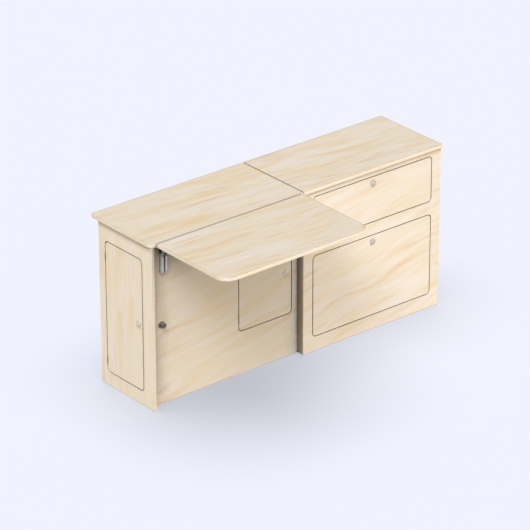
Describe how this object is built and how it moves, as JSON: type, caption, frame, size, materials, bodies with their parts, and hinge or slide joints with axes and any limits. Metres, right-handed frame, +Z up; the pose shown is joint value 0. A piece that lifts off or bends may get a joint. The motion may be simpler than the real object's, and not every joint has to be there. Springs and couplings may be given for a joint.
{
  "type": "van side cabinet",
  "caption": "Long low plywood cabinet for a van, with a fold-down side table, an end door, a small recessed door and drawers with round push locks.",
  "frame": {"origin": "on the floor under the middle of the overall outline, with the flap raised", "axes": "+X along the cabinet's length from the end door to the drawers' end, +Y to the back, +Z up"},
  "size_m": [1.545, 0.822, 0.74],
  "materials": {
    "ply_top": "clear satin varnish over pale plywood, grain along the length",
    "ply_panel": "clear satin varnish over pale plywood",
    "ply_back": "bare pale thin plywood",
    "ply_front": "clear satin varnish over pale plywood",
    "ply_drawer": "bare pale plywood, sanded",
    "spruce": "planed softwood",
    "beech": "turned hardwood",
    "hinge_steel": "dull plated steel",
    "screw_steel": "bright plated steel",
    "bracket_steel": "light grey plated sheet steel",
    "runner_steel": "plated sheet steel",
    "lock_chrome": "satin chrome",
    "lock_zinc": "dark grey cast metal",
    "rubber": "black moulded rubber"
  },
  "bodies": {
    "cabinet": {"worktop_left": "ply_top", "worktop_right": "ply_top", "end_panel_left": "ply_panel", "end_panel_right": "ply_panel", "divider_panel": "ply_panel", "partition_panel": "ply_panel", "recess_panel": "ply_panel", "right_front_panel": "ply_panel", "back_panel": "ply_back", "base_left": "ply_panel", "base_right": "ply_panel", "drawer_shelf": "ply_panel", "worktop_battens": "spruce", "batten_screws": "screw_steel", "joint_dowels": "beech", "frame_hinge_leaves": "hinge_steel", "hinge_pins": "hinge_steel", "lock_strikes": "runner_steel", "cabinet_runners": "runner_steel", "runner_spacers": "spruce", "bracket_wall_legs": "bracket_steel", "bracket_pins": "bracket_steel", "bracket_leg_screws": "screw_steel", "flap_buffer": "rubber"},
    "flap": {"flap_top": "ply_top", "bracket_arms": "bracket_steel", "bracket_arm_screws": "screw_steel"},
    "left_lock_slide": {"bracket_lock_slide_left": "bracket_steel"},
    "right_lock_slide": {"bracket_lock_slide_right": "bracket_steel"},
    "end_door": {"end_door": "ply_front", "end_door_hinge_leaves": "hinge_steel", "end_door_lock_rosette": "lock_chrome", "end_door_lock_case": "lock_zinc"},
    "small_door": {"small_door": "ply_front", "small_door_hinge_leaves": "hinge_steel", "small_door_lock_rosette": "lock_chrome", "small_door_lock_case": "lock_zinc"},
    "upper_drawer": {"upper_drawer_front": "ply_front", "upper_drawer_sides": "ply_drawer", "upper_drawer_back": "ply_drawer", "upper_drawer_bottom": "ply_drawer", "upper_drawer_runners": "runner_steel", "upper_drawer_lock_rosette": "lock_chrome", "upper_drawer_lock_case": "lock_zinc"},
    "lower_drawer": {"lower_drawer_front": "ply_front", "lower_drawer_sides": "ply_drawer", "lower_drawer_back": "ply_drawer", "lower_drawer_bottom": "ply_drawer", "lower_drawer_runners": "runner_steel", "lower_drawer_lock_rosette": "lock_chrome", "lower_drawer_lock_case": "lock_zinc"},
    "end_door_button": {"end_door_lock_button": "lock_chrome"},
    "end_door_bolt": {"end_door_lock_bolt": "lock_zinc"},
    "small_door_button": {"small_door_lock_button": "lock_chrome"},
    "small_door_bolt": {"small_door_lock_bolt": "lock_zinc"},
    "upper_drawer_button": {"upper_drawer_lock_button": "lock_chrome"},
    "upper_drawer_bolt": {"upper_drawer_lock_bolt": "lock_zinc"},
    "lower_drawer_button": {"lower_drawer_lock_button": "lock_chrome"},
    "lower_drawer_bolt": {"lower_drawer_lock_bolt": "lock_zinc"}
  },
  "joints": [
    {"name": "flap_fold", "type": "hinge", "parent": "cabinet", "child": "flap", "pos_m": [0, 0.049, 0.713], "axis": [-1, 0, 0], "range_deg": [-90, 0]},
    {"name": "left_lock_slide_lift", "type": "slide", "parent": "cabinet", "child": "left_lock_slide", "axis": [0, 0, 1], "range_m": [0, 0.003]},
    {"name": "right_lock_slide_lift", "type": "slide", "parent": "cabinet", "child": "right_lock_slide", "axis": [0, 0, 1], "range_m": [0, 0.003]},
    {"name": "end_door_swing", "type": "hinge", "parent": "cabinet", "child": "end_door", "pos_m": [-0.7635, 0.327, 0.356], "axis": [0, 0, -1], "range_deg": [0, 110]},
    {"name": "small_door_swing", "type": "hinge", "parent": "cabinet", "child": "small_door", "pos_m": [-0.297, 0.057, 0.384], "axis": [0, 0, -1], "range_deg": [0, 110]},
    {"name": "upper_drawer_slide", "type": "slide", "parent": "cabinet", "child": "upper_drawer", "axis": [0, -1, 0], "range_m": [0, 0.22]},
    {"name": "lower_drawer_slide", "type": "slide", "parent": "cabinet", "child": "lower_drawer", "axis": [0, -1, 0], "range_m": [0, 0.22]},
    {"name": "end_door_button_press", "type": "slide", "parent": "end_door", "child": "end_door_button", "axis": [-1, 0, 0], "range_m": [-0.006, 0], "stiffness_N_per_m": 150},
    {"name": "end_door_bolt_shoot", "type": "slide", "parent": "end_door", "child": "end_door_bolt", "axis": [0, -1, 0], "range_m": [0, 0.009]},
    {"name": "small_door_button_press", "type": "slide", "parent": "small_door", "child": "small_door_button", "axis": [0, -1, 0], "range_m": [-0.006, 0], "stiffness_N_per_m": 150},
    {"name": "small_door_bolt_shoot", "type": "slide", "parent": "small_door", "child": "small_door_bolt", "axis": [1, 0, 0], "range_m": [0, 0.009]},
    {"name": "upper_drawer_button_press", "type": "slide", "parent": "upper_drawer", "child": "upper_drawer_button", "axis": [0, -1, 0], "range_m": [-0.006, 0], "stiffness_N_per_m": 150},
    {"name": "upper_drawer_bolt_shoot", "type": "slide", "parent": "upper_drawer", "child": "upper_drawer_bolt", "axis": [0, 0, 1], "range_m": [0, 0.009]},
    {"name": "lower_drawer_button_press", "type": "slide", "parent": "lower_drawer", "child": "lower_drawer_button", "axis": [0, -1, 0], "range_m": [-0.006, 0], "stiffness_N_per_m": 150},
    {"name": "lower_drawer_bolt_shoot", "type": "slide", "parent": "lower_drawer", "child": "lower_drawer_bolt", "axis": [0, 0, 1], "range_m": [0, 0.009]}
  ],
  "couplings": [
    {"joint": "end_door_bolt_shoot", "follows": "end_door_button_press", "ratio": -1.5},
    {"joint": "small_door_bolt_shoot", "follows": "small_door_button_press", "ratio": -1.5},
    {"joint": "upper_drawer_bolt_shoot", "follows": "upper_drawer_button_press", "ratio": -1.5},
    {"joint": "lower_drawer_bolt_shoot", "follows": "lower_drawer_button_press", "ratio": -1.5}
  ]
}
